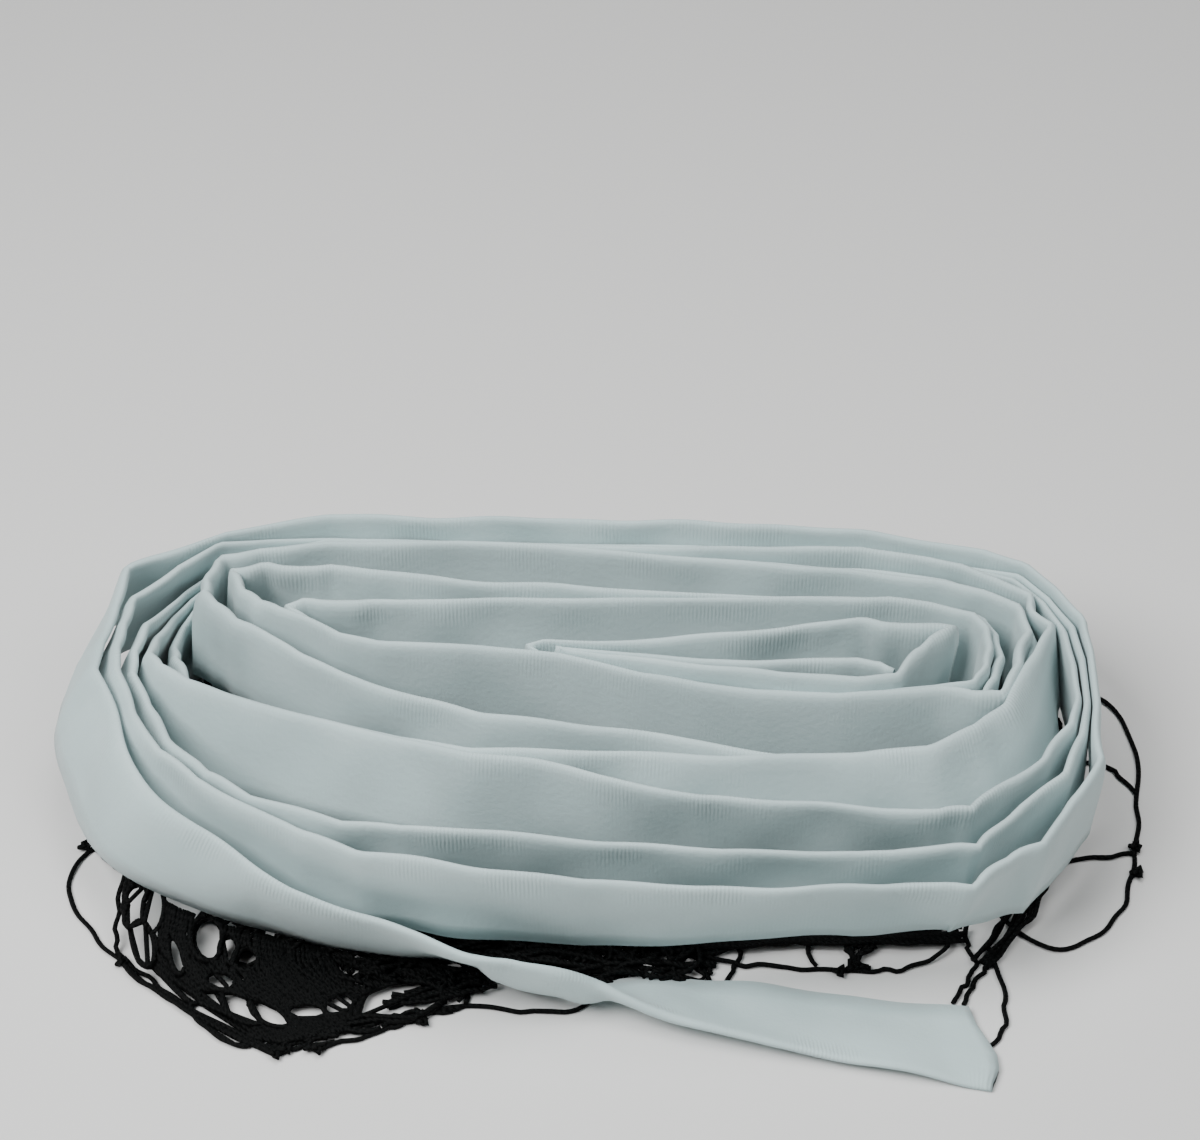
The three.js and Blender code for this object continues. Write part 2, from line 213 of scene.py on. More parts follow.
# Heaps of bunched net: middle x, y, half length, half depth, turn in degrees, height, strands.
HEAPS_UNDER = (
    (0, -12, 218, 96, 0, 17, 300),
    (66, -66, 142, 32, 0, 20, 150),
    (0, 72, 196, 27, -4, 22, 150),
    # This heap is net that lies under the left end, and its dark twine also fills the slot between the outer
    # turns as painted shade.
    (-222, 30, 34, 60, 0, 26, 90),
    (214, 2, 26, 66, 0, 22, 80),
    (128, -87, 62, 14, 0, 14, 60),
    (10, -6, 110, 44, 10, 15, 70),
)
HEAPS_FRONT = (
    (-62, -98, 78, 30, 4, 19, 150),
    (-18, -122, 74, 19, -4, 13, 130),
    (-118, -134, 58, 17, -15, 8, 110),
    (-166, -108, 32, 26, -28, 12, 70),
    (127, -121, 9, 9, 0, 6, 30),
)

# Single strands that stand clear of the heaps: two ends with two pulls between, each x, y, z.
STRANDS = (
    (180, 45, 1.3, 300, 110, 1.3, 276, -2, 1.3, 267, -50, 1.3),
    (266, -48, 1.3, 264, -98, 1.3, 226, -146, 1.3, 196, -96, 1.3),
    (272, -12, 1.3, 266, 4, 1.3, 258, 20, 1.3, 205, 10, 1.3),
    (266, -54, 1.3, 250, -56, 1.3, 233, -60, 1.3, 195, -62, 1.3),
    (182, -126, 1.5, 178, -134, 1.3, 174, -142, 1.3, 168, -152, 1.3),
    (190, -122, 2, 184, -134, 1.3, 177, -142, 1.3, 173, -153, 1.3),
    (188, -118, 2, 196, -140, 1.3, 196, -164, 1.3, 184, -178, 1.3),
    (178, -106, 6, 176, -112, 2, 177, -118, 1.3, 182, -127, 1.3),
    (40, -118, 4, 62, -129, 1.3, 82, -130, 1.3, 114, -131, 1.3),
    (46, -122, 3, 66, -120, 3, 84, -114, 5, 104, -108, 8),
    (116, -131, 1.3, 142, -134, 1.3, 166, -130, 1.3, 170, -110, 6),
    (102, -106, 8, 99, -114, 2, 101, -122, 1.3, 104, -128, 1.3),
    (68, -112, 3, 68, -120, 1.3, 64, -130, 1.3, 58, -142, 1.3),
    (46, -120, 3, 49, -126, 1.3, 50, -132, 1.3, 54, -142, 1.3),
    (34, -120, 3, 35, -128, 1.3, 37, -134, 1.3, 38, -142, 1.3),
    (-85, -160, 1.3, -60, -142, 1.3, -22, -172, 1.3, -4, -150, 1.3),
    (-205, -30, 1.3, -282, -40, 1.3, -268, -92, 1.3, -230, -126, 1.3),
    (-230, -86, 24, -237, -104, 14, -236, -118, 3, -230, -126, 1.3),
    (-230, -126, 1.3, -214, -146, 1.3, -186, -168, 1.3, -152, -184, 1.3),
    (-152, -184, 1.3, -140, -172, 1.3, -138, -176, 1.3, -132, -181, 1.3),
    (-132, -181, 1.3, -112, -172, 1.3, -98, -168, 1.3, -85, -160, 1.3),
    (-252, -50, 1.3, -248, -58, 1.3, -243, -65, 1.3, -200, -80, 1.3),
)

# Ropes of strands that lie together: a middle strand as above, how many, and how far they spread.
BUNDLES = (
    ((218, -62, 8, 214, -84, 6, 204, -104, 5, 184, -126, 2), 9, 3.0),
    ((-230, -126, 2, -213, -145, 2, -186, -167, 2, -152, -182, 2), 3, 1.4),
    ((-152, -182, 2, -142, -176, 3, -136, -176, 3, -124, -174, 3), 6, 3.0),
    ((-124, -172, 2, -112, -168, 2, -98, -164, 2, -86, -160, 2), 3, 2.0),
    ((-96, -152, 2, -84, -152, 3, -70, -146, 3, -52, -140, 3), 10, 4.0),
    ((38, -119, 5, 80, -111, 5, 130, -115, 5, 176, -111, 5), 10, 1.6),
)

# Guides for the part that hangs from the hem at the left: hem end, drop, floor and gathered end, each as
# x, y, z.
FAN = (
    (-230, -88, 26, -234, -110, 16, -231, -122, 3, -172, -172, 1.5),
    (-222, -96, 22, -230, -118, 14, -222, -134, 3, -152, -178, 2.5),
    (-204, -106, 18, -214, -128, 12, -196, -146, 4, -140, -176, 3),
    (-180, -114, 14, -188, -138, 10, -168, -156, 4, -124, -172, 3),
    (-156, -119, 10, -158, -140, 9, -140, -158, 4, -104, -166, 2.5),
    (-130, -123, 6, -128, -140, 7, -112, -154, 4, -84, -160, 2),
)

# Where the net stands open: x, y, half length, half depth and turn in degrees, on the floor behind the gap.
HOLES = (
    (-224, -83, 2.5, 4, 0), (-224, -95, 2.5, 7, 0), (-216, -91, 2.5, 9, 0), (-227, -118, 2.7, 11, 12),
    (-220, -112, 2.5, 10, 14), (-203, -121, 0.9, 7, 14), (-189, -110, 4.2, 8.5, 8), (-178, -117, 2, 5, 10),
    (-170, -123, 3, 4, 20), (-181, -137, 4, 2.5, -10), (-209, -146, 14, 3.5, -46), (-182, -151, 5.5, 3, -40),
    (-170, -154, 8, 3.2, -40), (-158, -157, 7.5, 2.4, -36), (-179, -164, 12, 3.5, -40), (-139, -156, 5, 2, 0),
    (-123, -151, 5, 2.6, 40), (-112, -153, 6, 2.4, 60), (-95, -150, 13, 7, 14), (-110, -163, 6, 2.4, 14),
    (60, -118, 7, 4, 14), (84, -120, 17, 4.5, 10), (111, -122, 6.5, 3.5, -4), (150, -122, 17, 4.5, 4),
    (182, -116, 3.6, 9, 0), (191, -104, 3.2, 5, 20),
)
# How far back along the floor a point's height carries what it hides, for each millimetre.
SIGHT = 0.88

# Knots on the floor: x, y.
KNOTS = (
    (267, -50), (266, -68), (115, -133), (121, -130), (-257, -50),
    (-230, -126), (-152, -184), (-132, -181), (-85, -160), (-84, -164), (-148, -181), (-136, -180),
)


def plan_to_frame(points: Array) -> Array:
    """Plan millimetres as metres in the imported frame."""
    return (points - PLAN_ORIGIN) * MM


def linear(code: str) -> tuple[float, float, float, float]:
    """An sRGB hex colour as linear RGBA, by the standard curve.

    Args:
        code: Six hex digits.

    Returns:
        Red, green, blue and an alpha of 1.
    """
    parts = [int(code[i : i + 2], 16) / 255 for i in (0, 2, 4)]
    red, green, blue = (p / 12.92 if p <= 0.04045 else ((p + 0.055) / 1.055) ** 2.4 for p in parts)
    return red, green, blue, 1.0


def unit(vectors: Array) -> Array:
    """Vectors along the last axis at length 1."""
    return vectors / np.maximum(np.linalg.norm(vectors, axis=-1, keepdims=True), TINY)


def arch(share: Array) -> Array:
    """A parabola that is 0 at shares 0 and 1, and 1 half way."""
    return 4 * share * (1 - share)


def distance(points: Array) -> Array:
    """Distance along a line of points, from 0 at the first."""
    return np.concatenate([[0], np.cumsum(np.linalg.norm(np.diff(points, axis=0), axis=1))])


def even(rows: Array, step: float, least: int) -> tuple[Array, Array]:
    """Rows resampled at an even step along the points in their first three columns.

    Args:
        rows: One row for each point.
        step: Distance wanted between points.
        least: Fewest points.

    Returns:
        Distance of each new row from the first, and the new rows.
    """
    along = distance(rows[:, :3])
    at = np.linspace(0, along[-1], max(least, round(along[-1] / step) + 1))
    return at, np.stack([np.interp(at, along, column) for column in rows.T], axis=1)


def smooth(values: Array, reach: int) -> Array:
    """A moving average along the first axis.

    Args:
        values: One row for each section.
        reach: Sections on each side that are averaged.

    Returns:
        Values of the same shape.
    """
    padded = np.concatenate([np.repeat(values[:1], reach, 0), values, np.repeat(values[-1:], reach, 0)])
    total = np.cumsum(np.concatenate([np.zeros_like(padded[:1]), padded]), axis=0)
    return (total[2 * reach + 1 :] - total[: -2 * reach - 1]) / (2 * reach + 1)


def spline(points: Array, count: int) -> Array:
    """A Catmull-Rom curve through points.

    Args:
        points: Points along the first axis.
        count: Points wanted.

    Returns:
        The curve's points, evenly spread over the spans.
    """
    ends = np.concatenate([2 * points[:1] - points[1:2], points, 2 * points[-1:] - points[-2:-1]])
    at = np.linspace(0, len(points) - 1, count)
    span = np.minimum(at.astype(int), len(points) - 2)
    t = (at - span)[:, None]
    a, b, c, d = (ends[span + k] for k in range(4))
    return 0.5 * (2 * b + (c - a) * t + (2 * a - 5 * b + 4 * c - d) * t**2 + (3 * b - a - 3 * c + d) * t**3)


def bezier(row: Sequence[float], count: int) -> Array:
    """A cubic curve from a row of four points.

    Args:
        row: Twelve numbers.
        count: Points wanted.

    Returns:
        The curve's points.
    """
    a, b, c, d = np.array(row, float).reshape(4, 3)
    t = np.linspace(0, 1, count)[:, None]
    return a * (1 - t) ** 3 + 3 * b * t * (1 - t) ** 2 + 3 * c * t**2 * (1 - t) + d * t**3


def turned(x: float | Array, y: float | Array, angle: float) -> tuple[float | Array, float | Array]:
    """Places turned about the origin of the plan.

    Args:
        x: One place or many along X.
        y: The same along Y.
        angle: Turn to the left seen from above, in radians.

    Returns:
        The turned x and y.
    """
    cos, sin = math.cos(angle), math.sin(angle)
    return x * cos - y * sin, x * sin + y * cos


def tube_quads(number: Array) -> Array:
    """Faces of four vertex numbers between rings of points, each ring closed on itself."""
    near, far = number[:-1], number[1:]
    return np.stack([near, np.roll(near, -1, 1), np.roll(far, -1, 1), far], axis=-1).reshape(-1, 4)


def add_node(
    tree: Tree, kind: str, settings: Settings | None = None, links: Settings | None = None
) -> bpy.types.Node:
    """Adds a node with its settings, socket values and links.

    Args:
        tree: The material's tree.
        kind: The node's type name.
        settings: Attribute or input name to value.
        links: Input name to the output socket that feeds it.

    Returns:
        The node.
    """
    node = tree.nodes.new(kind)
    for name, value in (settings or {}).items():
        if isinstance(name, str) and hasattr(node, name):
            setattr(node, name, value)
        else:
            node.inputs[name].default_value = value
    for name, output in (links or {}).items():
        tree.links.new(output, node.inputs[name])
    return node


def start_material(name: str, sockets: Settings) -> Material:
    """A new material with its shader's constants set.

    Args:
        name: What it is and how it was made.
        sockets: Shader input name to value.

    Returns:
        The material.
    """
    made = bpy.data.materials.new(name)
    made.use_nodes = True
    for socket, value in sockets.items():
        made.node_tree.nodes["Principled BSDF"].inputs[socket].default_value = value
    return made


def feed(tree: Tree, socket: str, output: Socket) -> None:
    """Links an output to the shader's input of that name."""
    tree.links.new(output, tree.nodes["Principled BSDF"].inputs[socket])


@dataclass(frozen=True)
class PlainWeave:
    """White plain-woven polyester-cotton cloth, washed and pressed double.

    Woven: matte, a little soft sheen at grazing angles, faint cross ribs where the cloth is drawn round its
    fold, and a slight unevenness of tone from handling.
    """

    name: str = "plain_weave_cotton"
    # Dull and clean cloth, and the noise values at which each is reached.
    tones: tuple[str, str] = ("A9BDBE", "B6CACB")
    tone_span: Span = (0.3, 0.66)
    tone_mm: float = 70.0
    tone_detail: float = 5.0
    roughness: float = 0.82
    ior: float = 1.46
    sheen: float = 0.25
    # Real threads are 0.4 mm apart. They are drawn coarser, or nothing would show at this distance.
    rib_mm: float = 1.9
    rib_wander: float = 1.5
    # The ribs come and go in patches.
    patch_mm: float = 38.0
    patch_detail: float = 2.0
    patch_span: Span = (0.48, 0.64)
    patch_shares: Span = (0.06, 1.0)
    # The fold lies this far from either hem, and the ribs fade out over these distances from it.
    fold_mm: float = BAND_WIDTH
    crimp_mm: Span = (7.0, 17.0)
    crimp_shares: Span = (1.0, 0.12)
    slub_mm: float = 3.2
    slub_detail: float = 6.0
    bump_strength: float = 0.3
    bump_mm: float = 0.7

    def material(self) -> Material:
        """Builds the cloth's material.

        Returns:
            The material.
        """
        sockets = {"Roughness": self.roughness, "IOR": self.ior, "Sheen Weight": self.sheen}
        made = start_material(self.name, sockets)
        tree = made.node_tree
        uv = add_node(tree, "ShaderNodeUVMap", {"uv_map": UV_NAME}).outputs["UV"]
        settings = {"Scale": 1 / (self.tone_mm * MM), "Detail": self.tone_detail}
        tone = add_node(tree, "ShaderNodeTexNoise", settings, {"Vector": uv})
        colour = add_node(tree, "ShaderNodeValToRGB", links={"Fac": tone.outputs["Fac"]})
        for element, code, position in zip(colour.color_ramp.elements, self.tones, self.tone_span):
            element.position = position
            element.color = linear(code)
        feed(tree, "Base Color", colour.outputs["Color"])
        links = {0: self.ribs(tree, uv), 1: self.near_fold(tree, uv)}
        ribs = add_node(tree, "ShaderNodeMath", {"operation": "MULTIPLY"}, links)
        settings = {"Scale": 1 / (self.slub_mm * MM), "Detail": self.slub_detail}
        slub = add_node(tree, "ShaderNodeTexNoise", settings, {"Vector": uv})
        links = {0: ribs.outputs["Value"], 1: slub.outputs["Fac"]}
        height = add_node(tree, "ShaderNodeMath", {"operation": "ADD"}, links)
        settings = {"Strength": self.bump_strength, "Distance": self.bump_mm * MM}
        bump = add_node(tree, "ShaderNodeBump", settings, {"Height": height.outputs["Value"]})
        feed(tree, "Normal", bump.outputs["Normal"])
        return made

    def ribs(self, tree: Tree, uv: Socket) -> Socket:
        """Cross ribs that come and go in patches.

        Args:
            tree: The material's tree.
            uv: Distance along and across the cloth.

        Returns:
            Their height, from 0 to 1.
        """
        scale = WAVE_PERIOD / (self.rib_mm * MM)
        settings = {"bands_direction": "X", "Scale": scale, "Distortion": self.rib_wander}
        wave = add_node(tree, "ShaderNodeTexWave", settings, {"Vector": uv})
        settings = {"Scale": 1 / (self.patch_mm * MM), "Detail": self.patch_detail}
        patch = add_node(tree, "ShaderNodeTexNoise", settings, {"Vector": uv})
        settings = dict(zip(RANGE_SOCKETS, (*self.patch_span, *self.patch_shares)))
        mask = add_node(tree, "ShaderNodeMapRange", settings, {"Value": patch.outputs["Fac"]})
        links = {0: wave.outputs["Fac"], 1: mask.outputs["Result"]}
        return add_node(tree, "ShaderNodeMath", {"operation": "MULTIPLY"}, links).outputs["Value"]

    def near_fold(self, tree: Tree, uv: Socket) -> Socket:
        """How close a place is to the fold.

        Args:
            tree: The material's tree.
            uv: Distance along and across the cloth.

        Returns:
            The most at the fold, and little away from it.
        """
        across = add_node(tree, "ShaderNodeSeparateXYZ", links={"Vector": uv}).outputs["Y"]
        settings = {"operation": "SUBTRACT", 1: self.fold_mm * MM}
        past = add_node(tree, "ShaderNodeMath", settings, {0: across}).outputs["Value"]
        away = add_node(tree, "ShaderNodeMath", {"operation": "ABSOLUTE"}, {0: past}).outputs["Value"]
        reach = [distance_mm * MM for distance_mm in self.crimp_mm]
        settings = dict(zip(RANGE_SOCKETS, (*reach, *self.crimp_shares)))
        return add_node(tree, "ShaderNodeMapRange", settings, {"Value": away}).outputs["Result"]


@dataclass(frozen=True)
class TwistedTwine:
    """Black twisted polyethylene twine.

    Laid from plies: nearly black, with a slanting ridge for each ply that catches a thin dull highlight.
    """

    name: str = "twisted_polyethylene_twine"
    # Clean and worn twine, reached at the ends of the noise.
    tones: tuple[str, str] = ("020303", "080909")
    tone_mm: float = 14.0
    tone_detail: float = 4.0
    roughness: float = 0.7
    ior: float = 1.5
    shine: float = 0.1
    lay_mm: float = 6.5
    plies: int = 2
    bump_strength: float = 0.6
    bump_mm: float = 0.5

    def material(self) -> Material:
        """Builds the twine's material.

        Returns:
            The material.
        """
        sockets = {"Roughness": self.roughness, "IOR": self.ior, "Specular IOR Level": self.shine}
        made = start_material(self.name, sockets)
        tree = made.node_tree
        uv = add_node(tree, "ShaderNodeUVMap", {"uv_map": UV_NAME}).outputs["UV"]
        settings = {"Scale": 1 / (self.tone_mm * MM), "Detail": self.tone_detail}
        tone = add_node(tree, "ShaderNodeTexNoise", settings, {"Vector": uv})
        colour = add_node(tree, "ShaderNodeValToRGB", links={"Fac": tone.outputs["Fac"]})
        for element, code in zip(colour.color_ramp.elements, self.tones):
            element.color = linear(code)
        feed(tree, "Base Color", colour.outputs["Color"])
        turn = math.tau * self.plies
        settings = {"operation": "DOT_PRODUCT", 1: (turn / (self.lay_mm * MM), turn, 0.0)}
        lay = add_node(tree, "ShaderNodeVectorMath", settings, {0: uv})
        ply = add_node(tree, "ShaderNodeMath", {"operation": "SINE"}, {0: lay.outputs["Value"]})
        settings = {"Strength": self.bump_strength, "Distance": self.bump_mm * MM}
        bump = add_node(tree, "ShaderNodeBump", settings, {"Height": ply.outputs["Value"]})
        feed(tree, "Normal", bump.outputs["Normal"])
        return made


@dataclass(frozen=True)
class PaintedBoard:
    """White painted board for the floor: even and matte, with a trace of roller texture."""

    name: str = "painted_board"
    colour: str = "D6D6D5"
    roughness: float = 0.9
    roller_mm: float = 4.0
    bump_strength: float = 0.05
    bump_mm: float = 0.2

    def material(self) -> Material:
        """Builds the floor's material.

        Returns:
            The material.
        """
        made = start_material(self.name, {"Base Color": linear(self.colour), "Roughness": self.roughness})
        tree = made.node_tree
        place = add_node(tree, "ShaderNodeTexCoord").outputs["Object"]
        grain = add_node(tree, "ShaderNodeTexNoise", {"Scale": 1 / (self.roller_mm * MM)}, {"Vector": place})
        settings = {"Strength": self.bump_strength, "Distance": self.bump_mm * MM}
        bump = add_node(tree, "ShaderNodeBump", settings, {"Height": grain.outputs["Fac"]})
        feed(tree, "Normal", bump.outputs["Normal"])
        return made


def add_object(name: str, data: bpy.types.ID) -> Piece:
    """Adds an object to the scene.

    Args:
        name: Its name.
        data: Its mesh, light or camera.

    Returns:
        The new object.
    """
    made = bpy.data.objects.new(name, data)
    bpy.context.scene.collection.objects.link(made)
    return made


def mesh_piece(name: str, points: Array, quads: Array, corner_uv: Array) -> Piece:
    """A smooth-shaded mesh of quads with a UV map in metres.

    Args:
        name: Piece name.
        points: Vertices in plan millimetres.
        quads: Four vertex numbers a face.
        corner_uv: One pair for each corner of each face.

    Returns:
        The new object, in the scene.
    """
    mesh = bpy.data.meshes.new(name)
    mesh.from_pydata(plan_to_frame(points).tolist(), [], quads.tolist())
    layer = mesh.uv_layers.new(name=UV_NAME)
    layer.data.foreach_set("uv", corner_uv.reshape(-1).astype(np.float32))
    mesh.polygons.foreach_set("use_smooth", np.ones(len(mesh.polygons), bool))
    mesh.update()
    return add_object(name, mesh)


def uv_length(piece: Piece) -> float:
    """The largest distance along a piece in its UV map.

    Args:
        piece: A piece from mesh_piece.

    Returns:
        Metres.
    """
    layer = piece.data.uv_layers[UV_NAME]
    uv = np.zeros(2 * len(layer.data), np.float32)
    layer.data.foreach_get("uv", uv)
    return float(uv[::2].max())


def dress(piece: Piece, material: Material, slot: Slot, *nodes: str) -> None:
    """Gives a piece its finish and its place in the frame.

    Args:
        piece: The new piece.
        material: Its finish.
        slot: Not used.
        nodes: CAD nodes that it stands for.
    """
    piece.data.materials.append(material)
    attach(piece, BODY)
    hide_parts(*nodes)
    LOG.info("%s: %d faces", piece.name, len(piece.data.polygons))


@dataclass
class Headband:
    """The doubled cloth strip: its coil and its loose end as one piece."""

    finish: PlainWeave
    width: float = BAND_WIDTH
    step: float = 4.0
    # One layer of cloth, half the pressed pair, and the least height of any point.
    cloth: float = 0.5
    pressed: float = 0.9
    lowest: float = 0.15
    # Where across the band its cloth has points, from the fold to the hem.
    rows: Row = (0.0, 0.012, 0.04, 0.085, 0.16, 0.28, 0.44, 0.62, 0.8, 1.0)
    # The soft loop at the fold: half its thickness, more where the band bends, its depth in half thicknesses,
    # how far below it the layers come together, and the gap it leaves to the next layer.
    loop: float = 1.2
    loop_bent: float = 1.3
    loop_depth: float = 2.1
    loop_reach: float = 22.0
    loop_ease: int = 1
    skin_gap: float = 0.35
    # A crease presses the loop to this share, and it opens between creases by this power of a sine.
    crease_share: float = 0.55
    crease_bend: float = 0.7
    # Creases are crisp where the band bends, and this much of that on its long runs.
    crisp_least: float = 0.12
    # How far the cloth bows out between fold and hem.
    belly: float = 1.2
    bow_most: float = 4.5
    # Ripples along the cloth, slanting drags from the creases, and sag between them.
    ripple: float = 0.75
    ripples: int = 16
    ripple_pitch: Span = (26.0, 120.0)
    drag: float = 1.1
    drag_slant: float = 0.9
    drag_width: float = 6.0
    drag_fade: float = 26.0
    sag: float = 1.6
    # The folded edge dips where the loop is open less than this share, and rises where it is open more.
    edge_wave: float = 0.8
    edge_level: float = 0.6
    # Sections and creases of the loose end, and the sections over which its join to the coil is eased.
    loose_sections: int = 240
    loose_creases: int = 9
    join_reach: int = 7
    # Sections over which ways, leans and bends are evened out.
    travel_reach: int = 1
    lean_reach: int = 7
    bent_reach: int = 9
    bent_gain: float = 10.0
    # The room to other layers is taken this share below the fold. A layer counts as another one this far on
    # along the band, and its height counts for less.
    room_share: float = 0.12
    turn_apart: float = 70.0
    room_most: float = 30.0
    room_height: float = 0.6
    room_reach: int = 3
    # Relief needs room: none stands out up to the first distance, and all of it after the second.
    free_span: Span = (2.5, 9.5)
    # The cut end bulges, and the flat part of the loose end swells a little, most near the cut end.
    cut_bulge: float = 7.5
    cut_reach: float = 9.0
    cut_skew: float = 0.75
    swell: float = 3.2
    swell_reach: float = 130.0
    seed: int = 5

    def edges(self) -> tuple[Array, Array, Array]:
        """Folded edge and hem of the whole band from its cut end to its inner end, section by section.

        Returns:
            Folded edge, hem, and a count of creases that grows along the band and is 0 where the coil starts.
        """
        creases = np.concatenate([np.array(turn, float) for turn in TURNS])
        coil = even(np.column_stack([creases, np.arange(len(creases))]), self.step, len(creases))[1]
        fold = coil[:, :3]
        hem = fold + self.width * self.slope(fold, coil[:, 3:4])
        table = np.concatenate([LOOSE_END, [[*fold[0], *hem[0]]]])
        loose = even(spline(table, self.loose_sections), self.step, len(table))[1][:-1]
        loose_count = np.linspace(-self.loose_creases, 0, len(loose), endpoint=False)
        return (
            np.concatenate([loose[:, :3], fold]),
            self.eased(np.concatenate([loose[:, 3:], hem]), len(loose)),
            np.concatenate([loose_count, coil[:, 4]]),
        )

    def slope(self, fold: Array, lean: Array) -> Array:
        """The way from the fold to the hem.

        Args:
            fold: The coil's folded edge.
            lean: Lean in degrees for each point.

        Returns:
            One unit vector for each point.
        """
        travel = unit(smooth(np.gradient(fold[:, :2], axis=0), self.travel_reach))
        out = np.stack([-travel[:, 1], travel[:, 0], np.zeros(len(fold))], axis=1)
        tilt = np.radians(smooth(lean, self.lean_reach))
        return np.sin(tilt) * out - np.cos(tilt) * UP

    def eased(self, hem: Array, join: int) -> Array:
        """The hem with its bend eased at the section where coil and loose end join."""
        near = np.exp(-(((np.arange(len(hem)) - join) / self.join_reach) ** 2))[:, None]
        return hem + (smooth(hem, self.join_reach) - hem) * near

    def room(self, line: Array) -> Array:
        """Distance from each section to the nearest other layer.

        Args:
            line: Points along the band at an even step.

        Returns:
            One distance in millimetres for each point.
        """
        flat = line * np.array([1.0, 1.0, self.room_height])
        tree = KDTree(len(flat))
        for i, point in enumerate(flat):
            tree.insert(point, i)
        tree.balance()
        apart = self.turn_apart / self.step
        found = np.full(len(flat), self.room_most)
        for i, point in enumerate(flat):
            for _, other, away in tree.find_range(point, self.room_most):
                if abs(other - i) > apart and away < found[i]:
                    found[i] = away
        shifts = range(-self.room_reach, self.room_reach + 1)
        return smooth(np.min([np.roll(found, k) for k in shifts], axis=0), self.room_reach)

    def relief(self, along: Array, count: Array, bent: Array, rng: Random) -> Array:
        """How far the cloth stands out of its plane by ripples, drags and sag.

        Args:
            along: Distance of each section from the cut end.
            count: Count of creases along the band.
            bent: How strongly the band bends, from 0 to 1.
            rng: Source of the unevenness.

        Returns:
            Millimetres outwards, section by row.
        """
        down = np.array(self.rows)
        depth = down * self.width
        relief = np.zeros((len(along), len(down)))
        for _ in range(self.ripples):
            pitch = rng.uniform(*self.ripple_pitch)
            slant = rng.uniform(-1, 1)
            relief += np.sin(math.tau * (along[:, None] / pitch + slant * down) + rng.uniform(0, math.tau))
        relief *= self.ripple / math.sqrt(self.ripples / 2)
        at_crease = np.interp(np.arange(math.ceil(count[0]), math.floor(count[-1]) + 1), count, along)
        tall = self.drag * (self.crisp_least + (1 - self.crisp_least) * np.interp(at_crease, along, bent))
        for at, height in zip(at_crease, tall):
            slant = rng.uniform(-self.drag_slant, self.drag_slant)
            off = (along[:, None] - at - slant * depth) / self.drag_width
            relief += rng.normal(0, height) * np.exp(-(off**2) - depth / self.drag_fade)
        return relief - self.sag * (np.sin(np.pi * (count % 1)) * bent)[:, None]

    def bow(self, chord: Array) -> Array:
        """How far the cloth bows out where its edges come closer than its width.

        Args:
            chord: Vector from fold to hem at each section.

        Returns:
            Millimetres for each section.
        """
        length = np.linalg.norm(chord, axis=1)
        slack = np.maximum(self.width - length, 0)
        return np.clip(np.sqrt(BOW_SHARE * length * slack), self.belly, self.bow_most)

    def ease_loose_end(self, surface: Array, along: Array, travel: Array) -> None:
        """Bulges the cut end and swells the flat part of the loose end.

        Args:
            surface: The middle of the doubled cloth, section by row, which is changed.
            along: Distance of each section from the cut end.
            travel: Way along the band at each section.
        """
        down = np.array(self.rows)
        near_cut = np.exp(-along[:, None] / self.cut_reach)
        cut = self.cut_bulge * np.sin(np.pi * down**self.cut_skew) ** 2 * near_cut
        surface -= travel[:, None] * cut[..., None]
        near_end = np.exp(-((along[:, None] / self.swell_reach) ** 2))
        swell = self.swell * np.sin(np.pi * down) ** 2 * near_end
        surface += UP * swell[..., None]

    def doubled_cloth(self) -> Piece:
        """Shapes the strip: two layers of cloth joined by a soft fold along the upper edge.

        Returns:
            The headband.
        """
        fold, hem, count = self.edges()
        along = np.arange(len(fold)) * self.step
        down = np.array(self.rows)
        chord = hem - fold
        travel = np.gradient(fold + hem, axis=0)
        heading = np.unwrap(np.arctan2(travel[:, 1], travel[:, 0]))
        bent = np.clip(smooth(np.abs(np.gradient(heading)), self.bent_reach) * self.bent_gain, 0, 1)
        crisp = self.crisp_least + (1 - self.crisp_least) * bent
        opening = 1 - (1 - np.sin(np.pi * (count % 1)) ** self.crease_bend) * crisp
        room = self.room(fold + self.room_share * chord)
        free = np.interp(room, self.free_span, (0, 1))
        relief = self.relief(along, count, bent, np.random.default_rng(self.seed))
        # Nothing lies outside the first turn, so its relief is free to stand outwards.
        outer = (count > 0) & (count < len(TURNS[0]) - 1)
        relief *= np.where(outer[:, None] & (relief > 0), 1.0, free[:, None])
        stand = self.bow(chord)[:, None] * arch(down) + relief
        lift = self.edge_wave * (opening - self.edge_level) * free * crisp
        surface = fold[:, None] + chord[:, None] * down[:, None]
        surface += unit(np.cross(travel, chord))[:, None] * stand[..., None]
        surface += UP * (lift[:, None] * (1 - down))[..., None]
        self.ease_loose_end(surface, along, unit(travel))
        surface[..., 2] = np.maximum(surface[..., 2], self.pressed + self.cloth)
        loop = (self.loop + self.loop_bent * bent) * (self.crease_share + (1 - self.crease_share) * opening)
        loop = np.minimum(self.pressed + loop, np.maximum(room / 2 - self.skin_gap, self.pressed))
        return self.strip(self.rings(surface, unit(chord), smooth(loop, self.loop_ease)), along)

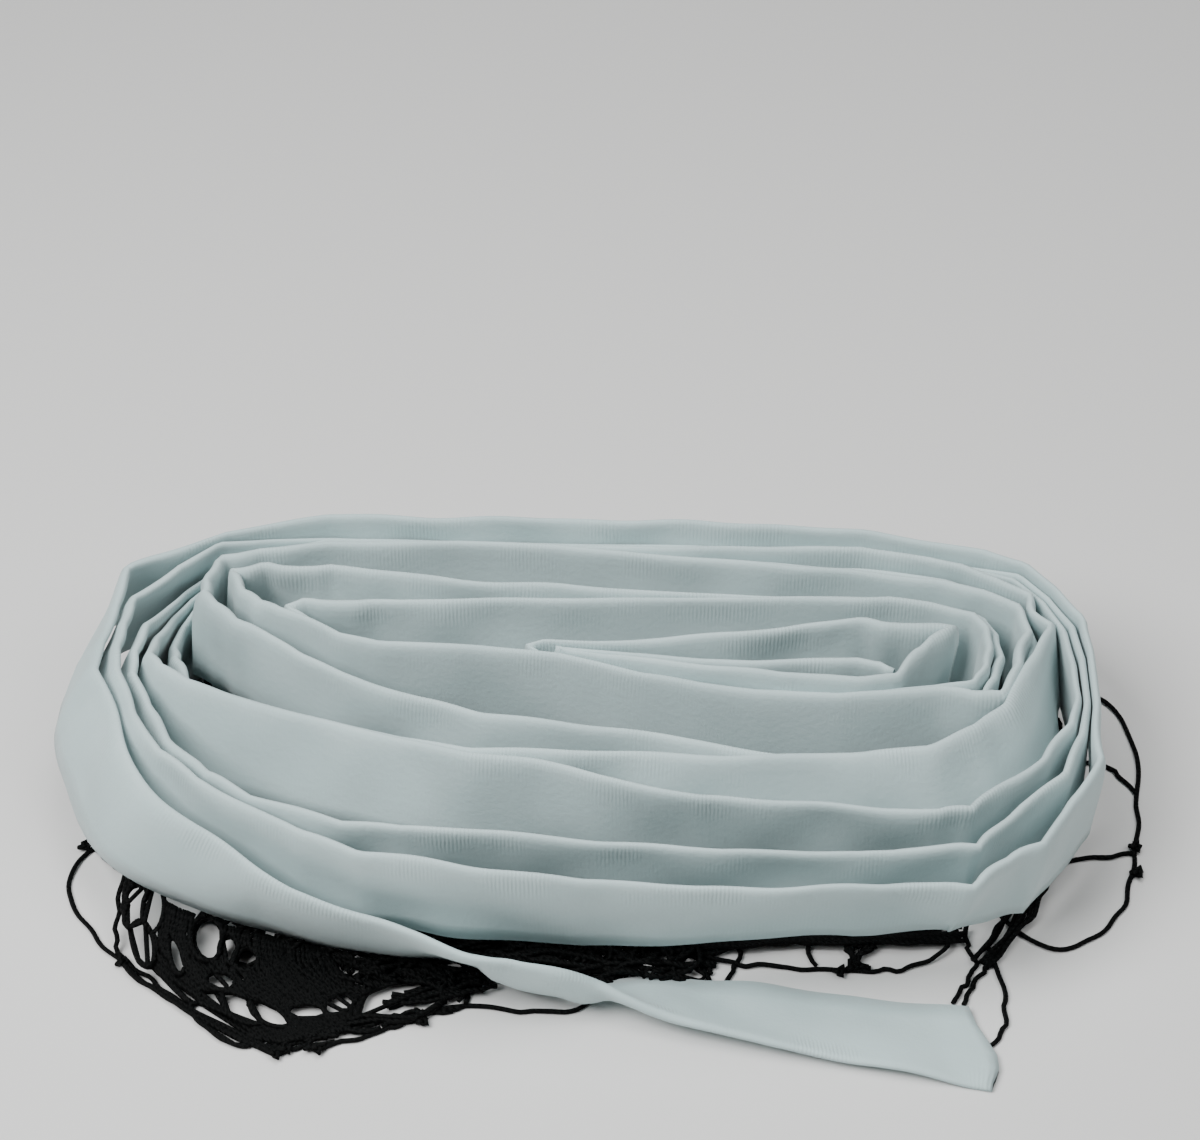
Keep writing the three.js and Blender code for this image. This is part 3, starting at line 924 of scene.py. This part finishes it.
    def rings(self, surface: Array, drop: Array, loop: Array) -> Array:
        """Points round each section: over the fold along the outer skin, and back along the lining.

        Args:
            surface: The middle of the doubled cloth, section by row.
            drop: Way from the fold to the hem at each section.
            loop: Half thickness of the soft fold at each section.

        Returns:
            Sections by points.
        """
        normal = unit(np.cross(np.gradient(surface, axis=0), np.gradient(surface, axis=1)))
        skin = normal * self.half_thickness(loop, 0.0)[..., None]
        lining = normal * self.half_thickness(loop, self.cloth)[..., None]
        middle = surface + drop[:, None] * (self.cloth * (1 - np.array(self.rows)))[:, None]
        there = [(surface + skin)[:, ::-1], (surface - skin)[:, 1:]]
        back = [(middle - lining)[:, ::-1], (middle + lining)[:, 1:]]
        ring = np.concatenate(there + back, axis=1)
        ring[..., 2] = np.maximum(ring[..., 2], self.lowest)
        return ring

    def half_thickness(self, loop: Array, inset: float) -> Array:
        """Half the distance between the two layers, section by row.

        Args:
            loop: Half thickness of the soft fold at each section.
            inset: How far inside the outer skin.

        Returns:
            One value for each section and row.
        """
        depth = np.array(self.rows) * self.width
        crown = self.loop_depth * loop[:, None]
        cap = np.sqrt(1 - (1 - np.clip(depth / crown, 0, 1)) ** 2)
        fade = np.exp(-((np.maximum(depth - crown, 0) / self.loop_reach) ** 2))
        full = self.pressed + (loop[:, None] - self.pressed) * fade
        return np.maximum((full - inset) * cap, 0.0)

    def strip(self, ring: Array, along: Array) -> Piece:
        """Joins the rings of points into one closed mesh.

        Args:
            ring: Sections by points round the section.
            along: Distance of each section from the cut end.

        Returns:
            The headband.
        """
        count, sides = ring.shape[:2]
        skin_rows = sides // 2
        number = np.arange(count * sides).reshape(count, sides)
        down = np.array(self.rows)
        across = self.width * np.concatenate([1 - down[::-1], 1 + down[1:]])
        across = np.concatenate([across, across[::-1]])
        uv = np.stack(np.broadcast_arrays(along[:, None], across[None]), axis=-1).reshape(-1, 2) * MM
        quads = [tube_quads(number)]
        for section, flip in ((0, 1), (count - 1, -1)):
            outer = number[section, :skin_rows]
            inside = number[section, skin_rows:][::-1]
            cap = np.stack([outer[:-1], inside[:-1], inside[1:], outer[1:]], axis=-1)
            quads.append(cap[:, ::flip])
        faces = np.concatenate(quads)
        return mesh_piece("headband_strip", ring.reshape(-1, 3), faces, uv[faces.reshape(-1)])

    def build(self) -> None:
        """Builds the strip, gives it its finish and reads its length from the UV map."""
        piece = self.doubled_cloth()
        dress(piece, self.finish.material(), Slot.CLOTH, "headband")
        length = uv_length(piece)


@dataclass
class Twine:
    """Collects lengths of round twine into one mesh."""

    step: float
    radius: float = 1.25
    sides: int = 6
    least_points: int = 3
    # An overhand knot as shares of its half length, and how much its lobes stand out.
    knot_points: int = 34
    knot_long: float = 0.42
    knot_wide: float = 0.36
    knot_tall: float = 0.3
    knot_lobes: Span = (1.3, 1.5)
    # What has been laid so far.
    points: list[Array] = field(default_factory=list)
    quads: list[Array] = field(default_factory=list)
    uv: list[Array] = field(default_factory=list)
    total: int = 0

    def lay(self, line: Array) -> None:
        """Adds a length of twine.

        Args:
            line: Points of its centre line, close together.
        """
        at, line = even(line, self.step, self.least_points)
        line[:, 2] = np.maximum(line[:, 2], self.radius)
        travel = unit(np.gradient(line, axis=0))
        side = unit(np.cross(travel, UP) + NUDGE)
        top = np.cross(side, travel)
        angle = np.arange(self.sides)[:, None] / self.sides * math.tau
        ring = line[:, None] + self.radius * (np.cos(angle) * side[:, None] + np.sin(angle) * top[:, None])
        number = self.total + np.arange(len(line) * self.sides).reshape(-1, self.sides)
        turn = np.arange(self.sides + 1)[None] / self.sides
        start, end = at[:-1, None] * MM, at[1:, None] * MM
        low, high = turn[:, :-1], turn[:, 1:]
        corners = ((end, low), (end, high), (start, high), (start, low))
        uv = np.stack([np.stack(np.broadcast_arrays(u, v), axis=-1) for u, v in corners], axis=2)
        self.points.append(ring.reshape(-1, 3))
        self.quads.append(tube_quads(number)[:, ::-1])
        self.uv.append(uv.reshape(-1, 2))
        self.total += number.size
        for rim in (number[0], number[-1, ::-1]):
            cap = np.array([[rim[0], *rim[k : k + 3]] for k in range(1, self.sides - 2, 2)])
            self.quads.append(cap)
            self.uv.append(np.zeros((cap.size, 2)))

    def knot(self, x: float, y: float, z: float, size: float, turn: float) -> None:
        """Adds an overhand knot.

        Args:
            x: Place on the plan.
            y: Place on the plan.
            z: Height of its middle.
            size: Half its length.
            turn: Which way it points, in radians.
        """
        t = np.linspace(0, math.tau, self.knot_points)
        long = size * self.knot_long * (np.sin(t) + self.knot_lobes[0] * np.sin(2 * t))
        wide = size * self.knot_wide * (np.cos(t) - self.knot_lobes[1] * np.cos(2 * t))
        tall = size * self.knot_tall * -np.sin(3 * t)
        along, across = turned(long, wide, turn)
        self.lay(np.stack([x + along, y + across, z + tall], axis=1))

    def piece(self, name: str) -> Piece:
        """All the twine so far as one piece."""
        points, quads, uv = (np.concatenate(parts) for parts in (self.points, self.quads, self.uv))
        return mesh_piece(name, points, quads, uv)


@dataclass
class Net:
    """The knotted twine net: what lies bunched under the coil, and what stands clear of it."""

    finish: TwistedTwine
    # Length of a straight piece of twine under the coil, in the front heaps, and where it lies loose.
    under_step: float = 8.0
    bunch_step: float = 5.0
    loose_step: float = 3.0
    curve_points: int = 80
    # A heap's plan is a rounded oblong of this power. Its strands go from stop to stop with a swing of their
    # own, drift on the way, and lie at any share of the height from the lowest one up.
    heap_bend: float = 2.6
    heap_stops: int = 6
    heap_core: float = 0.02
    heap_swing: float = 0.25
    heap_drift: float = 0.1
    heap_inner: float = 0.05
    heap_lowest: float = 0.1
    # A heap is level to near its outline and keeps a little height there.
    heap_shoulder: int = 5
    heap_edge: float = 0.03
    # The hanging part: its strands lie close at the right and thin out to the left, and drift at each stage.
    fan_strands: int = 130
    fan_drift: float = 0.175
    fan_thinning: float = 0.72
    fan_points: int = 160
    # Openings push strands aside out to this many times their size, more than once over.
    hole_rim: float = 1.5
    hole_rounds: int = 3
    hole_middle: float = 0.001
    # Kinks in a strand, with less in height, that ease out to its ends.
    kink: float = 0.9
    kinks: int = 12
    kink_height: float = 0.3
    kink_ease: float = 0.5
    # Ropes of strands: how far the strands part along the rope, and how much of that is height.
    bundle_fray: float = 0.5
    bundle_height: float = 0.4
    knot_size: float = 3.7
    knot_height: float = 0.75
    bunch_seed: int = 23
    loose_seed: int = 24
    fan_seed: int = 25

    def heap_place(self, heap: Heap, angle: float, reach: float) -> Array:
        """A point of a heap's plan.

        Args:
            heap: The heap.
            angle: Way from its middle, in radians.
            reach: Share of the way to its outline.

        Returns:
            Plan x and y.
        """
        cos, sin = math.cos(angle), math.sin(angle)
        a = heap.long * reach * math.copysign(abs(cos) ** (2 / self.heap_bend), cos)
        b = heap.deep * reach * math.copysign(abs(sin) ** (2 / self.heap_bend), sin)
        a, b = turned(a, b, math.radians(heap.turn))
        return np.array([heap.x + a, heap.y + b])

    def heap_strand(self, heap: Heap, rng: Random) -> Array:
        """One strand that wanders round a heap.

        Args:
            heap: The heap.
            rng: Source of its way.

        Returns:
            Points of its centre line.
        """
        angle = rng.uniform(0, math.tau)
        reach = math.sqrt(rng.uniform(self.heap_core, 1))
        swing = rng.normal(0, self.heap_swing)
        stops = []
        for _ in range(self.heap_stops):
            reach = min(max(reach + rng.normal(0, self.heap_drift), self.heap_inner), 1.0)
            angle += swing + rng.normal(0, self.heap_drift)
            crown = heap.height * math.sqrt(max(1 - reach**self.heap_shoulder, self.heap_edge))
            stops.append([*self.heap_place(heap, angle, reach), crown * rng.uniform(self.heap_lowest, 1.0)])
        return spline(np.array(stops), self.curve_points)

    def opened(self, line: Array, radius: float) -> Array:
        """A strand moved aside where the net stands open.

        Args:
            line: Points of its centre line.
            radius: Half the twine's thickness.

        Returns:
            The moved points.
        """
        line = line.copy()
        for x, y, long, deep, turn in HOLES * self.hole_rounds:
            angle = math.radians(turn)
            size = np.array([long + radius, deep + radius])
            seen = turned(line[:, 0] - x, line[:, 1] + SIGHT * line[:, 2] - y, -angle)
            local = np.stack(seen, axis=1) / size
            reach = np.maximum(np.linalg.norm(local, axis=1), self.hole_middle)
            pushed = np.where(reach < self.hole_rim, 1 + reach * (1 - 1 / self.hole_rim), reach)
            moved = local * (pushed / reach - 1)[:, None] * size
            line[:, :2] += np.stack(turned(*moved.T, angle), axis=1)
        return line

    def uneven(self, line: Array, rng: Random) -> Array:
        """A strand with the slight kinks that knotted twine keeps.

        Args:
            line: Points of a smooth strand.
            rng: Source of the kinks.

        Returns:
            The kinked strand.
        """
        kinks = spline(rng.normal(0, self.kink, (self.kinks, 3)), len(line))
        kinks[:, 2] *= self.kink_height
        ease = np.sin(np.linspace(0, math.pi, len(line)))[:, None] ** self.kink_ease
        return line + kinks * ease

    def build_bunch(self, name: str, rows: Sequence[Row], step: float) -> Piece:
        """Builds the layers of mesh that lie bunched in heaps.

        Args:
            name: Piece name.
            rows: Rows of a heap table.
            step: Length of a straight piece of twine.

        Returns:
            The piece.
        """
        rng = np.random.default_rng(self.bunch_seed)
        twine = Twine(step)
        for row in rows:
            heap = Heap(*row)
            for _ in range(heap.strands):
                twine.lay(self.opened(self.heap_strand(heap, rng), twine.radius))
        return twine.piece(name)

    def build_fan(self) -> Piece:
        """Builds the part that hangs from the hem at the left and is gathered on the floor.

        Returns:
            The piece.
        """
        rng = np.random.default_rng(self.fan_seed)
        twine = Twine(self.loose_step)
        guides = np.array(FAN, float).reshape(len(FAN), -1, 3)
        number = np.arange(len(FAN))
        for _ in range(self.fan_strands):
            at = number[-1] * rng.uniform(0, 1) ** self.fan_thinning
            stops = []
            for stage in range(guides.shape[1]):
                near = np.clip(at + rng.normal(0, self.fan_drift) * stage, 0, number[-1])
                stops += [np.interp(near, number, column) for column in guides[:, stage].T]
            line = self.uneven(bezier(stops, self.fan_points), rng)
            twine.lay(self.opened(line, twine.radius))
        return twine.piece("net_hanging_part")

    def build_loose(self) -> Piece:
        """Builds the strands, loops and knots that stand clear of the bunch.

        Returns:
            The piece.
        """
        rng = np.random.default_rng(self.loose_seed)
        twine = Twine(self.loose_step)
        for row in STRANDS:
            twine.lay(self.uneven(bezier(row, self.curve_points), rng))
        for row, count, spread in BUNDLES:
            for _ in range(count):
                aside = np.tile(rng.normal(0, spread, 3), len(row) // 3)
                offset = aside + rng.normal(0, spread * self.bundle_fray, len(row))
                offset[2::3] *= self.bundle_height
                twine.lay(self.uneven(bezier(np.array(row) + offset, self.curve_points), rng))
        for x, y in KNOTS:
            height = self.knot_size * self.knot_height
            twine.knot(x, y, height, self.knot_size, rng.uniform(0, math.pi))
        return twine.piece("net_loose_strands")

    def build(self) -> None:
        """Builds the pieces of the net and gives the twine its finish."""
        material = self.finish.material()
        pieces = (
            self.build_bunch("net_bunch", HEAPS_UNDER, self.under_step),
            self.build_bunch("net_front_bunch", HEAPS_FRONT, self.bunch_step),
            self.build_fan(),
            self.build_loose(),
        )
        for piece in pieces:
            dress(piece, material, Slot.TWINE, "net")


@dataclass(frozen=True)
class SoftLight:
    """A soft square light: where it hangs, what it points at and its side, in metres, and its power."""

    name: str
    place: Row
    target: Row
    side: float
    watts: float

    def build(self) -> None:
        """Adds the light to the scene."""
        data = bpy.data.lights.new(self.name, "AREA")
        data.size = self.side
        data.energy = self.watts
        made = add_object(self.name, data)
        made.location = self.place
        x, y, z = np.array(self.target) - np.array(self.place)
        made.rotation_euler = (math.atan2(math.hypot(x, y), -z), 0, math.atan2(-x, y))


@dataclass
class Studio:
    """Floor, lights and camera."""

    floor: PaintedBoard
    floor_half: float = 4.0
    lights: tuple[SoftLight, ...] = (
        SoftLight("key", (-0.95, -0.6, 1.6), (0, 0, 0.03), 1.1, 51),
        SoftLight("overhead", (0.1, 0.35, 1.9), (0, 0, 0), 1.2, 20),
        SoftLight("fill", (1.0, -0.45, 1.5), (0, 0, 0.03), 1.0, 12),
    )
    sky: str = "F3F6F7"
    sky_strength: float = 0.03
    # The camera: lens and frame width, place on the plan, and degrees below level.
    lens: float = 100.0
    sensor: float = 36.0
    camera_plan: Row = (0.0, -1203.8, 1207.2)
    look_down: float = 41.5

    def build_floor(self) -> None:
        """Builds the pale floor."""
        half = self.floor_half
        mesh = bpy.data.meshes.new("floor")
        corners = [(-half, -half, 0), (half, -half, 0), (half, half, 0), (-half, half, 0)]
        mesh.from_pydata(corners, [], [(0, 1, 2, 3)])
        mesh.materials.append(self.floor.material())
        made = add_object("floor", mesh)

    def build_sky(self) -> None:
        """Gives the world a faint even light."""
        world = bpy.data.worlds.new("studio")
        world.use_nodes = True
        back = world.node_tree.nodes["Background"]
        back.inputs["Color"].default_value = linear(self.sky)
        back.inputs["Strength"].default_value = self.sky_strength
        bpy.context.scene.world = world

    def build_camera(self) -> None:
        """Adds the camera at the photo's angle."""
        data = bpy.data.cameras.new("camera")
        data.lens = self.lens
        data.sensor_width = self.sensor
        data.sensor_fit = "HORIZONTAL"
        camera = add_object("camera", data)
        camera.location = plan_to_frame(np.array(self.camera_plan))
        camera.rotation_euler = (math.radians(90 - self.look_down), 0, 0)
        bpy.context.scene.camera = camera

    def build(self) -> None:
        """Builds the floor, the lights and the camera."""
        self.build_floor()
        for light in self.lights:
            light.build()
        self.build_sky()
        self.build_camera()


def main() -> None:
    """Builds the studio, the headband and the net."""
    logging.basicConfig(level=logging.INFO)
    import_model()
    Studio(PaintedBoard()).build()
    Headband(PlainWeave()).build()
    Net(TwistedTwine()).build()


if __name__ == "__main__":
    main()
